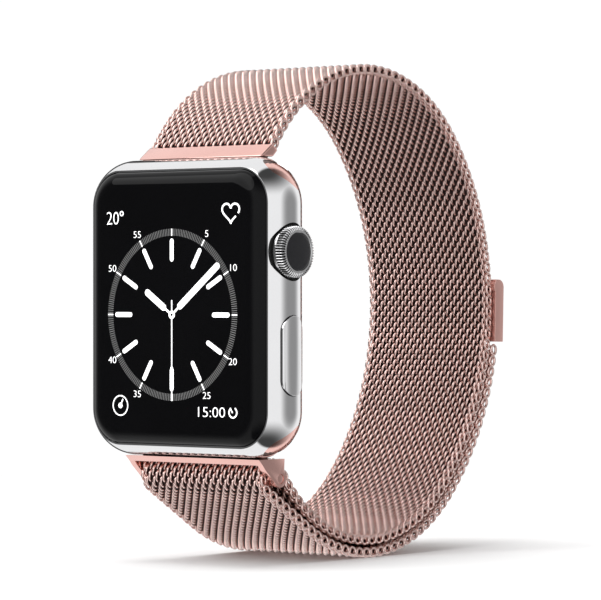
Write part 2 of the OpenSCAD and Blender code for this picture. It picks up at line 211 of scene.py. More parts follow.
ROSE = (0.88, 0.53, 0.475)
WIRE_ROSE = (0.90, 0.66, 0.61)
STEEL = surface("polished_steel", (0.80, 0.80, 0.81), 0.07, 1.0, 1400.0, 0.02, tint=0.01)
INNER_STEEL = surface("satin_steel", (0.62, 0.62, 0.63), 0.32, 1.0, 2500.0, 0.06, 0.002)
GLASS = surface("black_cover_glass", (0.003, 0.003, 0.0035), 0.03, 0.0, 700.0, 0.012, tint=0.1,
                Specular_IOR_Level=0.12)
CRYSTAL = surface("back_crystal", (0.012, 0.012, 0.014), 0.04, 0.0, 700.0, 0.015, tint=0.1)
CERAMIC = surface("back_ceramic", (0.03, 0.03, 0.032), 0.12, 0.0, 1200.0, 0.03)
CAP = surface("crown_cap_black", (0.018, 0.018, 0.02), 0.18, 0.0, 1500.0, 0.04,
              Specular_IOR_Level=0.25)
ROSE_POLISHED = surface("rose_gold_polished", ROSE, 0.16, 1.0, 2200.0, 0.04, 0.001, 0.02)
ROSE_SATIN = surface("rose_gold_satin", ROSE, 0.42, 1.0, 2200.0, 0.05, 0.001, 0.02)
RUBBER = surface("black_rubber", (0.018, 0.018, 0.018), 0.62, 0.0, 3000.0, 0.08, 0.004)
PLASTIC = surface("black_plastic", (0.03, 0.03, 0.032), 0.4, 0.0, 2600.0, 0.06, 0.003)
DISPLAY = surface("display", (0.008, 0.008, 0.01), 0.15, 0.0, 1500.0, 0.03)
FLEX = surface("flex_film", (0.62, 0.30, 0.05), 0.35, 0.0, 1800.0, 0.05)
WRAP = surface("battery_wrap", (0.10, 0.11, 0.12), 0.45, 0.0, 800.0, 0.08, 0.004)
BOARD = surface("circuit_board", (0.02, 0.12, 0.06), 0.4, 0.0, 2400.0, 0.06, 0.004, 0.25)
COPPER = surface("copper_coil", (0.72, 0.32, 0.16), 0.3, 1.0, 3200.0, 0.08, 0.004)
LENS = surface("sensor_lens", (0.01, 0.05, 0.03), 0.06, 0.0, 900.0, 0.02)
BRASS = surface("bush_brass", (0.72, 0.50, 0.20), 0.3, 1.0, 2200.0, 0.06)
NICKEL = surface("magnet_nickel", (0.70, 0.68, 0.64), 0.2, 1.0, 1800.0, 0.05)
WIRES = [
    principled(f"rose_gold_wire_{i}", Base_Color=(*(c * shade for c in WIRE_ROSE), 1), Metallic=1.0,
               Roughness=rough)
    for i, (shade, rough) in enumerate([(1.0, 0.20), (0.95, 0.23), (1.04, 0.18)])
]
# A dark sheet inside the weave: painted shade for the depth seen between the wires.
MESH_SHADE_SHEET = principled("mesh_painted_shade", Base_Color=(0.035, 0.02, 0.018, 1), Metallic=0.0, Roughness=0.7,
                  Specular_IOR_Level=0.1)
# Dark material for the gaps between the crown's teeth: painted shade.
TOOTH_GAP_SHADE = principled("crown_tooth_gap_painted_shade", Base_Color=(0.02, 0.02, 0.02, 1), Metallic=1.0, Roughness=0.35)
# Dark rose gold for the lugs' necks: painted shade and painted dark reflection where the necks sit in
# shadow.
LUG_NECK_SHADE = principled("rose_gold_shaded", Base_Color=(0.14, 0.09, 0.08, 1), Metallic=1.0,
                  Roughness=0.3)
GRAPHIC_WHITE = principled("dial_white", Base_Color=(0.9, 0.9, 0.9, 1), Roughness=0.4,
                           Emission_Color=(1, 1, 1, 1), Emission_Strength=0.9)
GRAPHIC_GREY = principled("dial_grey", Base_Color=(0.12, 0.12, 0.12, 1), Roughness=0.5,
                          Emission_Color=(1, 1, 1, 1), Emission_Strength=0.09)


# ---- making pieces ----

def stand(x, up, out):
    """A point of the case, given across, up and out of the back seat."""
    return (x, -out, up)


def new_object(name, vertices, faces):
    """A mesh object from points in mm."""
    mesh = bpy.data.meshes.new(name)
    mesh.from_pydata((np.array(vertices, float) * MM).tolist(), [], faces)
    mesh.update()
    obj = bpy.data.objects.new(name, mesh)
    bpy.context.scene.collection.objects.link(obj)
    return obj


def tidy_normals(obj):
    """Turns the faces of a closed solid outward."""
    shape = bmesh.new()
    shape.from_mesh(obj.data)
    bmesh.ops.recalc_face_normals(shape, faces=shape.faces)
    shape.to_mesh(obj.data)
    shape.free()
    return obj


def smooth(obj, degrees=35):
    """Smooth shading with sharp edges kept above an angle."""
    obj.data.polygons.foreach_set("use_smooth", [True] * len(obj.data.polygons))
    obj.data.set_sharp_from_angle(angle=math.radians(degrees))
    return obj


def place(obj, material, body, slot, *nodes):
    """Gives a finished piece its material and body, and hides the CAD nodes it stands for. The slot
    argument is not used.
    """
    obj.data.materials.clear()
    obj.data.materials.append(material)
    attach(obj, body)
    if nodes:
        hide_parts(*nodes)
    return obj


def evaluated(obj):
    """The object's mesh with its modifiers applied."""
    bpy.context.view_layer.update()
    graph = bpy.context.evaluated_depsgraph_get()
    return bpy.data.meshes.new_from_object(obj.evaluated_get(graph))


def apply_modifiers(obj):
    """Replaces an object's mesh by the one its modifiers give."""
    mesh = evaluated(obj)
    obj.modifiers.clear()
    obj.data = mesh
    return obj


def cut(obj, cutters):
    """Takes the cutters away from a solid and removes them from the scene."""
    for cutter in cutters:
        boolean = obj.modifiers.new("cut", "BOOLEAN")
        boolean.operation = "DIFFERENCE"
        boolean.solver = "MANIFOLD"
        boolean.object = cutter
    apply_modifiers(obj)
    for cutter in cutters:
        bpy.data.objects.remove(cutter)
    return obj


def from_cad(node, name, bevel, steps=3):
    """A copy of a CAD node's shape with clean faces and rounded edges."""
    shape = bmesh.new()
    shape.from_mesh(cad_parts[node].data)
    bmesh.ops.remove_doubles(shape, verts=shape.verts, dist=0.002 * MM)
    bmesh.ops.dissolve_limit(shape, angle_limit=math.radians(1.5), verts=shape.verts,
                             edges=shape.edges)
    mesh = bpy.data.meshes.new(name)
    shape.to_mesh(mesh)
    shape.free()
    obj = bpy.data.objects.new(name, mesh)
    bpy.context.scene.collection.objects.link(obj)
    rounding = obj.modifiers.new("rounding", "BEVEL")
    rounding.width = bevel * MM
    rounding.segments = steps
    rounding.limit_method = "ANGLE"
    rounding.angle_limit = math.radians(32)
    apply_modifiers(obj)
    return smooth(obj)


# ---- outlines ----

def arc(cx, cy, radius, start, turn, steps):
    """Points of an arc, angles in degrees."""
    angles = [math.radians(start + turn * k / steps) for k in range(steps + 1)]
    return [(cx + radius * math.cos(a), cy + radius * math.sin(a)) for a in angles]


def rounded_rectangle(width, height, radius, steps=10):
    """Corner by corner outline of a rounded rectangle."""
    points = []
    for start, sx, sy in ((0, 1, 1), (90, -1, 1), (180, -1, -1), (270, 1, -1)):
        points += arc(sx * (width / 2 - radius), sy * (height / 2 - radius), radius, start, 90, steps)
    return points


def pill(length, width, steps=14):
    """A slot outline, long way across."""
    run = (length - width) / 2
    return arc(run, 0, width / 2, -90, 180, steps) + arc(-run, 0, width / 2, 90, 180, steps)


def ringed_faces(n, rings):
    """Faces of a solid whose vertices are rings of n points, with flat ends."""
    faces = [tuple(range(n)), tuple(range(rings * n - 1, (rings - 1) * n - 1, -1))]
    for i in range(rings - 1):
        faces += [(i * n + j, i * n + (j + 1) % n, (i + 1) * n + (j + 1) % n, (i + 1) * n + j)
                  for j in range(n)]
    return faces


def prism(name, outline, low, high, to_space):
    """A solid from an outline, with to_space(a, b, level) giving each point."""
    vertices = [to_space(a, b, level) for level in (low, high) for a, b in outline]
    return tidy_normals(new_object(name, vertices, ringed_faces(len(outline), 2)))


def stations(width, height, radius, arc_steps, run_steps):
    """Corner centres and outward directions round a rounded rectangle."""
    found = []
    signs = ((1, 1), (-1, 1), (-1, -1), (1, -1))
    for i, (sx, sy) in enumerate(signs):
        centre = Vector((sx * (width / 2 - radius), sy * (height / 2 - radius)))
        for k in range(arc_steps + 1):
            a = math.radians(90 * i + 90 * k / arc_steps)
            found.append((centre, Vector((math.cos(a), math.sin(a)))))
        nx, ny = signs[(i + 1) % 4]
        after = Vector((nx * (width / 2 - radius), ny * (height / 2 - radius)))
        last = found[-1][1]
        found += [(centre.lerp(after, k / run_steps), last) for k in range(1, run_steps)]
    return found


def swept(name, round_it, profile):
    """A solid from a half profile (outward, out) swept round stations and closed by flat caps."""
    vertices = [stand(*(base + u * way), out) for u, out in profile for base, way in round_it]
    return tidy_normals(new_object(name, vertices, ringed_faces(len(round_it), len(profile))))


# ---- case ----

def fillet(radius, level):
    """Centre of a fillet between the bulge and a flat at that level, on the flat's inner side."""
    drop = (level - radius if level > BULGE_OUT else level + radius) - BULGE_OUT
    return BULGE_U + math.sqrt((BULGE_R - radius) ** 2 - drop ** 2), BULGE_OUT + drop


LIP_C = fillet(LIP_FILLET, FRONT)
BACK_C = fillet(BACK_FILLET, BACK)


def bulge_angle(centre):
    """Direction of a fillet's centre from the bulge's, in degrees."""
    return math.degrees(math.atan2(centre[1] - BULGE_OUT, centre[0] - BULGE_U))


def case_profile():
    """Half profile of the case from its back to its front lip."""
    low, high = bulge_angle(BACK_C), bulge_angle(LIP_C)
    core = 4.0
    points = [(core, BACK)]
    points += arc(*BACK_C, BACK_FILLET, -90, 90 + low, 8)
    points += arc(BULGE_U, BULGE_OUT, BULGE_R, low, high - low, 30)[1:]
    points += arc(*LIP_C, LIP_FILLET, high, 90 - high, 6)[1:]
    return points + [(core, FRONT)]


def case_normal(point):
    """Outward normal of the bare case at a point in mm, or None away from its curved side."""
    across = Vector((max(0.0, abs(point.x) - CASE_W / 2 + CASE_R) * math.copysign(1, point.x),
                     max(0.0, abs(point.z) - CASE_H / 2 + CASE_R) * math.copysign(1, point.z)))
    u, out = across.length, -point.y
    if u < 1e-6:
        return None
    rounds = ((BULGE_U, BULGE_OUT, BULGE_R), (*LIP_C, LIP_FILLET), (*BACK_C, BACK_FILLET))
    for cu, co, radius in rounds:
        if abs(math.hypot(u - cu, out - co) - radius) < 0.012 and u > cu:
            way = across / u * (u - cu) / radius
            return Vector((way.x, -(out - co) / radius, way.y)).normalized()
    return None


def true_normals(obj):
    """Gives the case's side its exact normals, so that polished reflections run smoothly."""
    smooth(obj, 30)
    mesh = obj.data
    normals = [Vector(n.vector) for n in mesh.corner_normals]
    exact = [case_normal(v.co / MM) for v in mesh.vertices]
    for face in mesh.polygons:
        for corner in face.loop_indices:
            normal = exact[mesh.loops[corner].vertex_index]
            if normal is not None and normal.dot(face.normal) > 0.94:
                normals[corner] = normal
    mesh.normals_split_custom_set(normals)


def crown_space(a, b, x):
    """Points of a shape drawn round the crown's axis."""
    return stand(x, CROWN_UP + b, CROWN_OUT + a)


KEY_LOW, KEY_HIGH = span("side_button")
KEY_L = KEY_HIGH.z - KEY_LOW.z
KEY_W = KEY_HIGH.y - KEY_LOW.y


def key_space(a, b, x):
    """Points of a shape drawn round the side button's centre, long way up."""
    return stand(x, (KEY_LOW.z + KEY_HIGH.z) / 2 + a, -(KEY_LOW.y + KEY_HIGH.y) / 2 + b)


def cone(name, x1, r1, x2, r2, steps=96):
    """A cutter round the crown's axis, from radius r1 at x1 to r2 at x2."""
    vertices = [crown_space(a, b, x) for x, r in ((x1, r1), (x2, r2))
                for a, b in arc(0, 0, r, 0, 360, steps)[:-1]]
    return tidy_normals(new_object(name, vertices, ringed_faces(steps, 2)))


CHANNEL = (4.6, 18.8)           # out and up of the upper band channel's middle
CHANNEL_L, CHANNEL_W = 5.8, 2.4
CHANNEL_TILT = math.radians(33)
NECK_W = 1.6
NECK_LEAN = math.radians(25)


def turned(a, b, tilt):
    """A point of the channel's drawing, turned about the channel's middle, as (out, up)."""
    out, up = CHANNEL
    return (out - a * math.cos(tilt) - b * math.sin(tilt), up - a * math.sin(tilt) + b * math.cos(tilt))


def channel_outline(clear):
    """The upper band channel."""
    return [turned(a, b, CHANNEL_TILT) for a, b in pill(CHANNEL_L + 2 * clear, CHANNEL_W + 2 * clear, 20)]


def neck_outline(clear):
    """The slot above the channel that the lug's neck passes through."""
    half, length = NECK_W / 2 + clear, 6
    return [turned(a, b, NECK_LEAN) for a, b in ((-half, 0), (half, 0), (half, length), (-half, length))]


def case_cutters():
    """Everything that is taken out of the case."""
    def slab(width, height, radius, low, high):
        return prism("slab", rounded_rectangle(width, height, radius, 16), low, high, stand)

    well_floor, bay_floor, back_floor = 7.6, 3.0, 1.0
    cutters = [
        slab(GLASS_W + 0.1, GLASS_H + 0.1, GLASS_R, GLASS_BOTTOM - 0.15, FRONT + 1),
        slab(GLASS_W - 3.4, GLASS_H - 3.5, 6, well_floor, FRONT),
        slab(30.6, 30.6, 4, bay_floor, well_floor + 0.1),
        slab(27.6, 29.6, 6, back_floor, bay_floor + 0.1),
        slab(30.6, 32.8, 9, 0, BACK + 1),
        cone("recess", RECESS_X, RECESS_R, RECESS_X + 4, RECESS_R),
        cone("mouth", 17.6, RECESS_R, 18.4, RECESS_R + 0.25),
        cone("bush_hole", 14.3, BUSH_R, 17.3, BUSH_R),
        prism("pocket", pill(KEY_L + 2 * SEAM, KEY_W + 2 * SEAM, 24), 16.3, 20.3, key_space),
        prism("post_hole", pill(1.31, 1.3, 12), 14.3, 17.3, key_space),
    ]
    for side in (1, -1):
        for outline in (channel_outline(FIT), neck_outline(FIT)):
            cutters.append(prism("channel", outline, -30, 30,
                                 lambda out, up, x: stand(x, side * up, out)))
        release = [(a, 17.9 * side + b) for a, b in pill(6.1, 1.7)]
        cutters.append(prism("release", release, 0, 3, stand))
    for up in (-9, -4.2):
        cutters.append(prism("slot", pill(3.6, 0.8), -19, -14.5,
                             lambda a, b, x: stand(x, up + a, CROWN_OUT + b)))
    cutters.append(prism("mic", arc(0, 0, 0.4, 0, 360, 20)[:-1], -19, -14.5,
                         lambda a, b, x: stand(x, 4.2 + a, 5 + b)))
    return cutters


def make_case():
    case = swept("case_shell", stations(CASE_W, CASE_H, CASE_R, 32, 6), case_profile())
    cut(case, case_cutters())
    place(case, STEEL, "case", "polished_steel", "mid_case")
    true_normals(case)


def make_glass():
    """Domed glass: flat over the display and curving ever more tightly towards its edge."""
    flat_u = GLASS_R - GLASS_CURVE
    profile = [(flat_u - GLASS_LEDGE, GLASS_BOTTOM), (GLASS_R - FIT, GLASS_BOTTOM)]
    profile += [(flat_u + GLASS_CURVE * u, GLASS_TOP - GLASS_DROP + GLASS_DROP * rise)
                for u, rise in arc(0, 0, 1, 0, 90, 32)]
    profile.append((flat_u - GLASS_LEDGE, GLASS_TOP))
    glass = swept("domed_glass", stations(GLASS_W, GLASS_H, GLASS_R, 32, 8), profile)
    smooth(glass, 40)
    place(glass, GLASS, "case", "cover_glass", "cover_glass")


# ---- crown and side button ----

def lathe(name, profile, grooves=None):
    """A solid turned about the crown's axis from (x, radius) points.

    grooves gives the depth of the tooth gaps at each point, cut along the surface's normal.
    """
    steps = RIDGES * 8
    count = len(profile)
    vertices = []
    for i, (x, radius) in enumerate(profile):
        before, after = profile[max(i - 1, 0)], profile[min(i + 1, count - 1)]
        normal = Vector((before[1] - after[1], after[0] - before[0])).normalized()
        for k in range(steps):
            a = 2 * math.pi * k / steps
            depth = grooves[i] * math.cos(RIDGES * a / 2) ** 2 if grooves else 0.0
            r = radius - depth * normal.y
            vertices.append(crown_space(r * math.cos(a), r * math.sin(a), x - depth * normal.x))
    return tidy_normals(new_object(name, vertices, ringed_faces(steps, count)))


def darken_gaps(knob, first_x):
    """Paints shade into the gaps between the crown's teeth: their faces get a dark material of their own.
    """
    knob.data.materials.append(TOOTH_GAP_SHADE)
    for face in knob.data.polygons:
        across = face.center / MM - Vector(crown_space(0, 0, 0))
        gap = math.cos(RIDGES * math.atan2(across.z, -across.y) / 2) ** 2
        in_teeth = across.x > first_x and math.hypot(across.y, across.z) > 3.0
        face.material_index = int(in_teeth and gap > 0.55)


def make_knob(cap_hole):
    """The crown's toothed wheel, with a round pocket of that radius for its cap."""
    inner, outer = knob_low.x, knob_high.x
    rim, shoulder = CROWN_R, 0.55
    base = [(inner, 1.2), (inner, rim - 0.3), (inner + 0.08, rim - 0.12), (inner + 0.22, rim - 0.03),
            (inner + 0.4, rim), (inner + 0.7, rim)]
    toothed = [(inner + 0.76, rim)]
    toothed += [(outer - shoulder + shoulder * math.sin(math.radians(a)),
                 rim - shoulder + shoulder * math.cos(math.radians(a))) for a in (0, 18, 36, 54, 72, 88)]
    toothed += [(outer, 3.06)]
    face = [(outer, 3.0), (outer, cap_hole + 0.05), (outer - 0.05, cap_hole), (outer - 0.5, cap_hole),
            (outer - 0.5, 1.2)]
    grooves = [0.0] * len(base) + [TOOTH] * len(toothed) + [0.0] * len(face)
    knob = smooth(lathe("crown_wheel", base + toothed + face, grooves), 30)
    place(knob, STEEL, "crown", "polished_steel", "crown_knob")
    # The gaps between the teeth get painted shade.
    darken_gaps(knob, inner + 0.7)


def make_crown():
    cap_r, cap_hole = 2.69, 2.73
    make_knob(cap_hole)

    bulge, flat_r = 0.16, 2.62
    dome = [(cap_low.x, cap_r), (knob_high.x - 0.05, cap_r)]
    dome += [(cap_high.x - bulge * math.sin(math.radians(a)) ** 2, flat_r * math.sin(math.radians(a)))
             for a in (80, 60, 45, 30, 18, 8)]
    cap = smooth(lathe("crown_disc", dome), 35)
    place(cap, CAP, "crown", "crown_cap_black", "crown_cap")

    # A thin black rubber ring on the recess floor round the crown: painted shade, standing in for the
    # shadow inside the recess.
    outside, inside = RECESS_R - 0.01, 2.0
    low, high = RECESS_X + 0.01, RECESS_X + 0.04
    recess_shade_ring = smooth(lathe("crown_recess_shade_ring", [(low, inside), (low, outside), (high, outside), (high, inside)]), 30)
    place(recess_shade_ring, RUBBER, "case", "black_rubber")


def make_buttons():
    key = from_cad("side_button", "side_key", 0.16)
    place(key, STEEL, "side_key", "polished_steel", "side_button")
    for side in ("upper", "lower"):
        release = from_cad(f"{side}_release_button", f"{side}_release_key", 0.08, 2)
        place(release, STEEL, f"{side}_release", "polished_steel", f"{side}_release_button")


# ---- dial ----

DIAL_UP = -1.0                  # height of the dial's centre over the case's
GRAPHIC_T = 0.02                # thickness of the shapes on the glass


class Sheet:
    """Collects thin flat shapes that lie on the glass."""

    def __init__(self):
        self.vertices = []
        self.faces = []

    def add(self, outline):
        """One closed shape, as points (x, up) from the dial's centre."""
        n = len(outline)
        at = len(self.vertices)
        for out in (GLASS_TOP, GLASS_TOP + GRAPHIC_T):
            self.vertices += [stand(x, DIAL_UP + up, out) for x, up in outline]
        self.faces += [tuple(at + i for i in range(n)), tuple(at + 2 * n - 1 - i for i in range(n))]
        self.faces += [(at + i, at + (i + 1) % n, at + n + (i + 1) % n, at + n + i) for i in range(n)]

    def add_stroke(self, path, width, closed=False):
        """A line of constant width along a path."""
        points = [Vector(p) for p in path]
        n = len(points)
        sides = []
        for i, p in enumerate(points):
            before = points[i - 1] if closed or i else p
            after = points[(i + 1) % n] if closed or i < n - 1 else p
            way = (after - before).normalized()
            offset = Vector((-way.y, way.x)) * width / 2
            sides.append((p + offset, p - offset))
        for i in range(n if closed else n - 1):
            j = (i + 1) % n
            self.add([sides[i][0], sides[j][0], sides[j][1], sides[i][1]])

    def add_text(self, words, height, x, up, widen=1.15):
        """Digits centred on a point, height being the digits' own height."""
        curve = bpy.data.curves.new("digits", "FONT")
        curve.body = words
        curve.size = height / 0.69
        curve.align_x = "CENTER"
        curve.align_y = "CENTER"
        curve.offset = -0.018 * height
        curve.resolution_u = 5
        writing = bpy.data.objects.new("digits", curve)
        bpy.context.scene.collection.objects.link(writing)
        mesh = evaluated(writing)
        bpy.data.objects.remove(writing)
        for face in mesh.polygons:
            corners = [mesh.vertices[v].co for v in face.vertices]
            self.add([(x + widen * c.x, up + c.y) for c in corners])

    def done(self, name, material):
        """Makes the collected shapes one piece."""
        obj = tidy_normals(new_object(name, self.vertices, self.faces))
        return place(obj, material, "case", "display")


def clock(minutes, r):
    """Point at a radius in the direction of that minute."""
    a = math.radians(6 * minutes)
    return (r * math.sin(a), r * math.cos(a))


def bar(minutes, r1, r2, width, steps=8):
    """A bar with round ends along the direction of that minute."""
    ux, uy = clock(minutes, 1)
    heading = math.degrees(math.atan2(uy, ux))
    half = width / 2
    far = arc(ux * (r2 - half), uy * (r2 - half), half, heading - 90, 180, steps)
    return far + arc(ux * (r1 + half), uy * (r1 + half), half, heading + 90, 180, steps)


def add_circle(sheet, x, up, radius, width, steps):
    """A circle drawn with a line."""
    sheet.add_stroke(arc(x, up, radius, 0, 360, steps)[:-1], width, closed=True)


def make_dial():
    ring_in, ring_out = 11.3, 12.3
    thin, stem = 0.2, 0.34
    white = Sheet()
    for hour in range(12):
        white.add(bar(5 * hour, 7.6, 10.9, 0.7))
        white.add_stroke([clock(5 * hour, ring_in), clock(5 * hour, ring_out)], thin)
    for minute in (5, 10, 20, 25, 35, 40, 50, 55):
        white.add_text(str(minute), 0.98, *clock(minute, 13.25))
    minutes, hours, seconds = 8.5, 50.7, 30
    white.add(bar(hours, 1.4, 6.1, 1.0))
    white.add(bar(minutes, 1.5, 11.5, 1.0))
    for hand in (hours, minutes):
        white.add_stroke([clock(hand, 0.5), clock(hand, 1.6)], stem)
    for first, last in ((-2.1, -0.55), (0.55, 7.6), (10.2, ring_out)):
        white.add_stroke([clock(seconds, first), clock(seconds, last)], thin)
    white.add(bar(seconds, 7.4, 10.3, 0.5))
    add_circle(white, 0, 0, 0.4, 0.4, 24)
    add_corners(white)
    white.done("dial_markers", GRAPHIC_WHITE)

    grey = Sheet()
    ticks = 240
    for k in range(ticks):
        if k % (ticks // 12):
            grey.add_stroke([clock(60 * k / ticks, ring_in), clock(60 * k / ticks, ring_out)], 0.12)
    grey.done("dial_ticks", GRAPHIC_GREY)


def heart(x, up, size, gap_from, gap):
    """A heart's outline with a gap in it, the gap given in radians of the curve."""
    points = []
    for k in range(44):
        a = gap_from + (2 * math.pi - gap) * k / 43
        tall = 13 * math.cos(a) - 5 * math.cos(2 * a) - 2 * math.cos(3 * a) - math.cos(4 * a)
        points.append((x + 16.67 * size * math.sin(a) ** 3, up + size * tall))
    return points


def add_corners(sheet):
    """The small readouts in the dial's corners: temperature, heart, gauge, time and timer."""
    top, bottom = 14.0, -13.75
    sheet.add_text("20", 1.85, -11.4, top - 0.15, 0.95)
    add_circle(sheet, -9.65, top + 0.6, 0.3, 0.18, 16)
    sheet.add_stroke(heart(11.1, top + 0.55, 0.096, 2.15, 0.25), 0.28)
    x, up = -9.9, bottom + 0.6
    add_circle(sheet, x, up, 1.42, 0.18, 40)
    sheet.add(arc(x, up, 0.4, 0, 360, 20)[:-1])
    sheet.add_stroke([(x + 0.1, up + 0.2), (x + 0.5, up + 0.95)], 0.22)
    sheet.add_text("15:00", 1.45, 7.3, bottom - 0.1, 1.22)
    x, up = 11.5, bottom
    sheet.add_stroke(arc(x, up, 0.72, 60, -300, 28), 0.22)
    sheet.add_stroke([(x - 0.05, up - 0.05), (x - 0.4, up + 0.45)], 0.2)


# ---- lugs and clasp ----

NECK_SHADE_FROM = 20.4                # distance from the case's middle beyond which the lugs' necks show and get painted shade


def make_lugs():
    for side in ("upper", "lower"):
        lug = from_cad(f"{side}_lug", f"{side}_lug_insert", 0.08)
        place(lug, ROSE_POLISHED, "band", "rose_gold_polished", f"{side}_lug")
        # Faces past the neck line get the dark material, painted shade.
        lug.data.materials.append(LUG_NECK_SHADE)
        for face in lug.data.polygons:
            face.material_index = int(abs(face.center.z) / MM > NECK_SHADE_FROM)
    for node, name, bevel, steps in (("upper_clamp", "mesh_clamp", 0.3, 4),
                                     ("lower_frame", "lug_frame", 0.16, 3),
                                     ("crossbar", "fold_bar", 0.1, 3)):
        place(from_cad(node, name, bevel, steps), ROSE_POLISHED, "band", "rose_gold_polished", node)


def make_clasp():
    housing = from_cad("clasp_housing", "clasp_shell", 0.35, 4)
    place(housing, ROSE_SATIN, "clasp", "rose_gold_polished", "clasp_housing")
    plate = from_cad("clasp_plate", "clasp_pad", 0.12)
    place(plate, ROSE_POLISHED, "clasp", "rose_gold_polished", "clasp_plate")


# ---- woven mesh ----

BAR = (span("crossbar")[0] + span("crossbar")[1]) / 2
FOLD_R = 2.15                   # bend of the mesh round the crossbar
FOLD_TURN = 204.39
FOLD_HEADING = 124.0            # heading of the strap where its fold begins
LOWER, REAR, UPPER = (25.3, 102), (39.1, 84), (26.6, 105)       # radius and turn of each bend
CLAMP_RUN = 1.0                 # straight mesh at the clamp
LAYER = MESH_T + 0.25           # from the strap's middle to the tail's
TAIL_REACH = 35                 # how far the tail follows the rear bend, in degrees


def left(heading):
    """Unit vector to the left of a heading in degrees."""
    a = np.radians(heading)
    return np.array([-np.sin(a), np.cos(a)])


def along(heading):
    """Unit vector along a heading in degrees."""
    a = np.radians(heading)
    return np.array([np.cos(a), np.sin(a)])


def band_route():
    """Start, heading and bends of the mesh's middle line, from the clamp to the tail's end.

    A bend is (radius, turn), positive to the left; radius 0 is a straight of that length.
    """
    bar = np.array([BAR.y, BAR.z])
    fold_start = bar + FOLD_R * along(FOLD_HEADING - 90)
    centre = fold_start - LOWER[0] * left(FOLD_HEADING)
    centre_gap = np.linalg.norm(centre - bar)
    tail_r = LOWER[0] + LAYER
    tail_run = math.sqrt(centre_gap ** 2 - (tail_r - FOLD_R) ** 2)
    lower_end = FOLD_HEADING - 180 + LOWER[1]
    tail_heading = FOLD_HEADING + FOLD_TURN - 360
    bends = [(0, CLAMP_RUN), (UPPER[0], -UPPER[1]), (REAR[0], -REAR[1]), (LOWER[0], -LOWER[1]),
             (FOLD_R, FOLD_TURN), (0, tail_run), (tail_r, lower_end - tail_heading),
             (REAR[0] + LAYER, TAIL_REACH)]
    heading = FOLD_HEADING + LOWER[1] + REAR[1] + UPPER[1]
    point = fold_start
    at = FOLD_HEADING
    for radius, turn in reversed(bends[:4]):
        if radius == 0:
            point = point - turn * along(at)
        else:
            centre = point - radius * left(at)
            at -= turn
            point = centre + radius * left(at)
    return point, heading - 360, bends


START, START_HEADING, BENDS = band_route()


def bend_length(bend):
    radius, turn = bend
    return turn if radius == 0 else radius * math.radians(abs(turn))


LENGTHS = [bend_length(b) for b in BENDS]
STRAP_LENGTH = sum(LENGTHS[:4])
FOLD_LENGTH = LENGTHS[4]
BAND_LENGTH = sum(LENGTHS)


def on_route(s):
    """Positions and headings at the distances s along the mesh's middle line."""
    points = np.zeros((len(s), 2))
    headings = np.zeros(len(s))
    point, heading, done = START, START_HEADING, 0.0
    for i, (radius, turn) in enumerate(BENDS):
        length = LENGTHS[i]
        after_start = (s >= done) | (i == 0)
        before_end = (s < done + length) | (i == len(BENDS) - 1)
        here = after_start & before_end
        d = s[here] - done
        if radius == 0:
            points[here] = point + d[:, None] * along(heading)
            headings[here] = heading
            point = point + length * along(heading)
        else:
            sign = math.copysign(1, turn)
            centre = point + sign * radius * left(heading)
            h = heading + np.degrees(sign * d / radius)
            points[here] = centre - sign * radius * left(h).T
            headings[here] = h
            heading += turn
            point = centre - sign * radius * left(heading)
        done += length
    return points, headings


def coil(index, s_middle):
    """One flattened wire coil across the mesh: rings of points and the number of rings.

    Neighbouring coils are half a turn apart, so that they hook into each other. Every second
    one reaches further out, and its last turn closes into a ring at the mesh's edge.
    """
    outer = index % 2 == 0
    edge = MESH_W / 2 - WIRE_R - (0.0 if outer else EDGE_STEP)
    soft = 0.25                 # stretch over which the coil stops advancing at its edge
    turns = edge / COIL_PITCH + 0.85
    per_turn = 12
    count = int(2 * turns * per_turn) + 1
    t = np.linspace(-turns, turns, count) * 2 * np.pi
    phase = t + (0.0 if outer else np.pi)
    x = COIL_PITCH * (t + UPRIGHT * np.sin(2 * phase)) / (2 * np.pi)
    over = np.maximum(np.abs(x) - (edge - soft), 0)
    x = np.sign(x) * (np.minimum(np.abs(x), edge - soft) + soft * np.tanh(over / soft))
    ds = -COIL_HALF * np.cos(phase)
    dn = (MESH_T / 2 - WIRE_R) * np.sin(phase)
    middle, heading = on_route(s_middle + ds)
    flat = middle + dn[:, None] * left(heading).T
    points = np.column_stack([x, flat])
    way = np.gradient(points, axis=0)
    way /= np.linalg.norm(way, axis=1)[:, None]
    side = np.cross(np.array([1.0, 0, 0]), way)
    side /= np.linalg.norm(side, axis=1)[:, None]
    up = np.cross(way, side)
    a = 2 * np.pi * np.arange(WIRE_SIDES) / WIRE_SIDES
    rings = (points[:, None, :] + WIRE_R * (np.cos(a)[None, :, None] * side[:, None, :]
                                            + np.sin(a)[None, :, None] * up[:, None, :]))
    return rings.reshape(-1, 3), count


def tube_faces(start, count):
    """Faces of a wire of rings, with its ends closed."""
    ring = np.arange(WIRE_SIDES)
    after = (ring + 1) % WIRE_SIDES
    base = start + WIRE_SIDES * np.arange(count - 1)[:, None]
    quads = np.stack([base + ring, base + after, base + WIRE_SIDES + after, base + WIRE_SIDES + ring],
                     axis=2)
    ends = [list(range(start + WIRE_SIDES - 1, start - 1, -1)),
            list(range(start + WIRE_SIDES * (count - 1), start + WIRE_SIDES * count))]
    return quads.reshape(-1, 4).tolist() + ends


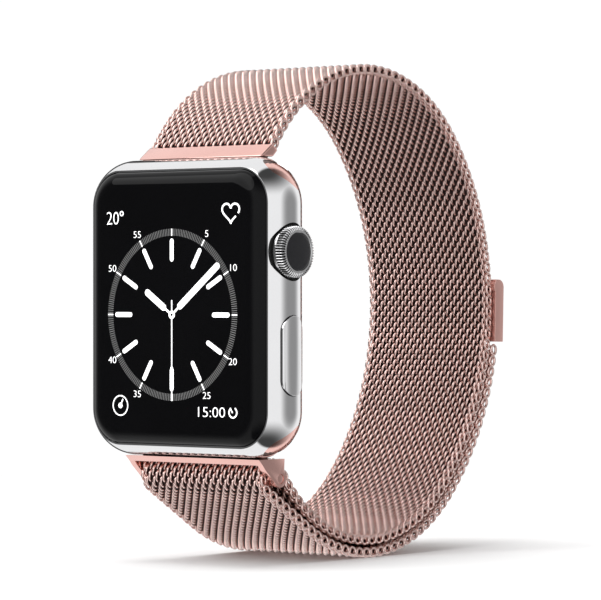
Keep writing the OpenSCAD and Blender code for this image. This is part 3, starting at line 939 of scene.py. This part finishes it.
def weave(name, s_to, first):
    """The coils from index first up to a distance along the band, and the next coil's index."""
    rows = []
    faces = []
    shades = []
    total = 0
    index = first
    while FIRST_COIL + COIL_STEP * index < s_to:
        rings, count = coil(index, FIRST_COIL + COIL_STEP * index)
        new = tube_faces(total, count)
        rows.append(rings)
        faces += new
        shades += [random.randrange(len(WIRES))] * len(new)
        total += len(rings)
        index += 1
    mesh = bpy.data.meshes.new(name)
    mesh.from_pydata((np.concatenate(rows) * MM).tolist(), [], faces)
    for wire in WIRES:
        mesh.materials.append(wire)
    mesh.polygons.foreach_set("material_index", shades)
    mesh.polygons.foreach_set("use_smooth", [True] * len(faces))
    mesh.update()
    obj = bpy.data.objects.new(name, mesh)
    bpy.context.scene.collection.objects.link(obj)
    return obj, index


def core(name, s_from, s_to):
    """A dark sheet inside the mesh between two distances along the band: painted shade for the depth
    between the wires.
    """
    count = max(4, int((s_to - s_from) / 0.8))
    s = np.linspace(s_from, s_to, count)
    middle, heading = on_route(s)
    across = MESH_W / 2 - SHADE_SHEET_INSET
    offset = SHADE_SHEET_T / 2 * left(heading).T
    vertices = []
    for i in range(count):
        for x, side in ((-across, -1), (across, -1), (across, 1), (-across, 1)):
            vertices.append((x, *(middle[i] + side * offset[i])))
    obj = smooth(tidy_normals(new_object(name, vertices, ringed_faces(4, count))), 40)
    obj.data.materials.append(MESH_SHADE_SHEET)
    return obj


def make_cores(fold_end):
    """The dark sheets of painted shade inside the strap, its fold and the tail."""
    strap = core("strap_shade_sheet", 0.2, STRAP_LENGTH)
    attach(strap, "band")
    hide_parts("strap_mesh")
    fold = core("fold_shade_sheet", STRAP_LENGTH, fold_end)
    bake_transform(fold)
    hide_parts("tail_mesh")
    tail = core("tail_shade_sheet", fold_end, BAND_LENGTH - 0.8)
    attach(tail, "tail")
    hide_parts("tail_mesh")


def make_mesh():
    index = 0
    third = STRAP_LENGTH / 3
    for k, part in enumerate(("upper", "rear", "lower")):
        piece, index = weave(f"strap_weave_{part}", (k + 1) * third, index)
        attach(piece, "band")
        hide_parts("strap_mesh")
    fold_end = STRAP_LENGTH + FOLD_LENGTH + 1.5
    fold, index = weave("fold_weave", fold_end, index)
    (first, last), _ = on_route(np.array([STRAP_LENGTH, STRAP_LENGTH + FOLD_LENGTH]))
    make_cores(fold_end)
    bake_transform(fold)
    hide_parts("tail_mesh")
    tail, index = weave("tail_weave", BAND_LENGTH - 0.7, index)
    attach(tail, "tail")
    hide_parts("tail_mesh")


# ---- carried-over CAD nodes ----

CAD_FINISHES = {
    RUBBER: ["display_gasket", "back_gasket", "crown_o_ring", "upper_bumpers", "lower_bumpers"],
    DISPLAY: ["display_panel"],
    FLEX: ["display_flex"],
    WRAP: ["battery"],
    BOARD: ["logic_board", "sensor_board"],
    INNER_STEEL: ["haptic_motor", "speaker", "crown_bracket", "button_bracket", "bracket_screws",
                  "crown_plunger", "crown_stem", "side_button_stems", "upper_catch", "lower_catch"],
    PLASTIC: ["microphone", "crown_switch", "crown_encoder", "button_switch"],
    COPPER: ["charging_coil"],
    LENS: ["sensor_lenses"],
    CRYSTAL: ["back_crystal"],
    CERAMIC: ["back_cover"],
    BRASS: ["crown_bush"],
    NICKEL: ["clasp_magnets"],
}


def finish_cad_nodes():
    """Gives the CAD nodes that stay visible their finishes."""
    for material, nodes in CAD_FINISHES.items():
        for node in nodes:
            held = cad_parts[node].data.materials
            held.clear()
            held.append(material)


# ---- stage ----

FLOOR_R = 240.0

def make_floor():
    level = cad_box[0].z / MM
    rim = [(x, y, level) for x, y in arc(0, 0, FLOOR_R, 0, 360, 96)[:-1]]
    floor = new_object("floor", rim, [tuple(range(len(rim)))])
    floor.data.materials.append(surface("floor_paper", (0.96, 0.96, 0.96), 0.9, 0.0, 300.0, 0.05,
                                        tint=0.002, Specular_IOR_Level=0.0))
    floor.visible_glossy = False


def soft_sun(name, toward, strength, spread, mirrored=True):
    """A distant soft light shining from the direction toward, seen in shiny surfaces if mirrored."""
    light = bpy.data.lights.new(name, "SUN")
    light.energy = strength
    light.angle = math.radians(spread)
    obj = bpy.data.objects.new(name, light)
    obj.rotation_euler = Vector(toward).to_track_quat("Z", "Y").to_euler()
    obj.visible_glossy = mirrored
    bpy.context.scene.collection.objects.link(obj)


AZIMUTH = math.radians(39.4)
VIEW = Vector((-math.sin(AZIMUTH), math.cos(AZIMUTH), 0))   # the way the camera looks
RIGHT = Vector((math.cos(AZIMUTH), math.sin(AZIMUTH), 0))


def make_world():
    """A white studio. Dark cards stand beside the view, ahead of the glass, to the crown side
    and high above and far below that side, where the polished case mirrors them."""
    world = bpy.data.worlds.new("studio")
    bpy.context.scene.world = world
    world.use_nodes = True
    nodes, links = world.node_tree.nodes, world.node_tree.links
    way = nodes.new("ShaderNodeTexCoord").outputs["Generated"]

    def ramp(value, low, high):
        """0 at low to 1 at high, smoothly."""
        step = nodes.new("ShaderNodeMapRange")
        step.interpolation_type = "SMOOTHSTEP"
        step.inputs["From Min"].default_value = low
        step.inputs["From Max"].default_value = high
        links.new(value, step.inputs["Value"])
        return step.outputs["Result"]

    def toward(axis):
        dot = nodes.new("ShaderNodeVectorMath")
        dot.operation = "DOT_PRODUCT"
        dot.inputs[1].default_value = Vector(axis).normalized()
        links.new(way, dot.inputs[0])
        return dot.outputs["Value"]

    def cone_of(axis, inner, outer):
        """1 within inner degrees of an axis, falling to 0 at outer degrees."""
        return ramp(toward(axis), math.cos(math.radians(outer)), math.cos(math.radians(inner)))

    def combine(operation, a, b):
        node = nodes.new("ShaderNodeMath")
        node.operation = operation
        for socket, value in zip(node.inputs, (a, b)):
            if isinstance(value, float):
                socket.default_value = value
            else:
                links.new(value, socket)
        return node.outputs[0]

    beside = combine("SUBTRACT", cone_of(VIEW, 28, 36), cone_of(VIEW, 8, 10))
    ahead = cone_of(VIEW - 2 * VIEW.y * Vector((0, 1, 0)), 24, 50)
    crown_side = cone_of((math.cos(math.radians(40)), math.sin(math.radians(40)), 0), 8, 42)
    steep = combine("ABSOLUTE", toward((0, 0, 1)), 0.0)
    steep_side = combine("MULTIPLY", ramp(steep, 0.3, 0.93), ramp(toward((1, 0, 0)), 0.0, 0.12))
    dark = combine("MULTIPLY", beside, 0.97)
    for card, depth in ((ahead, 0.9), (crown_side, 0.7), (steep_side, 0.96)):
        dark = combine("MAXIMUM", dark, combine("MULTIPLY", card, depth))
    background = nodes["Background"]
    background.inputs["Color"].default_value = (1, 1, 1, 1)
    links.new(combine("SUBTRACT", 1.02, dark), background.inputs["Strength"])


def make_camera():
    """The camera looks level at the watch from the front, 39 degrees round to the crown side."""
    distance = 500.0
    middle_of_case = Vector((0, -5.9, 0))
    target = middle_of_case + 15.48 * RIGHT + Vector((0, 0, 1.106))
    camera = bpy.data.cameras.new("camera")
    camera.lens = 208.1
    camera.sensor_width = 36
    camera.clip_start, camera.clip_end = 0.01, 200
    obj = bpy.data.objects.new("camera", camera)
    away = (-VIEW + Vector((0, 0, 0.001))).normalized()
    obj.location = (target + distance * away) * MM
    obj.rotation_euler = (-away).to_track_quat("-Z", "Y").to_euler()
    bpy.context.scene.collection.objects.link(obj)
    bpy.context.scene.camera = obj


def make_stage():
    make_floor()
    make_world()
    make_camera()
    soft_sun("key", (-0.35, -0.75, 0.9), 1.3, 60)
    soft_sun("top", (0, 0, 1), 1.1, 40, mirrored=False)
    bpy.context.scene.view_settings.view_transform = "Standard"


make_case()
make_glass()
make_crown()
make_buttons()
make_dial()
make_lugs()
make_clasp()
make_mesh()
finish_cad_nodes()
make_stage()
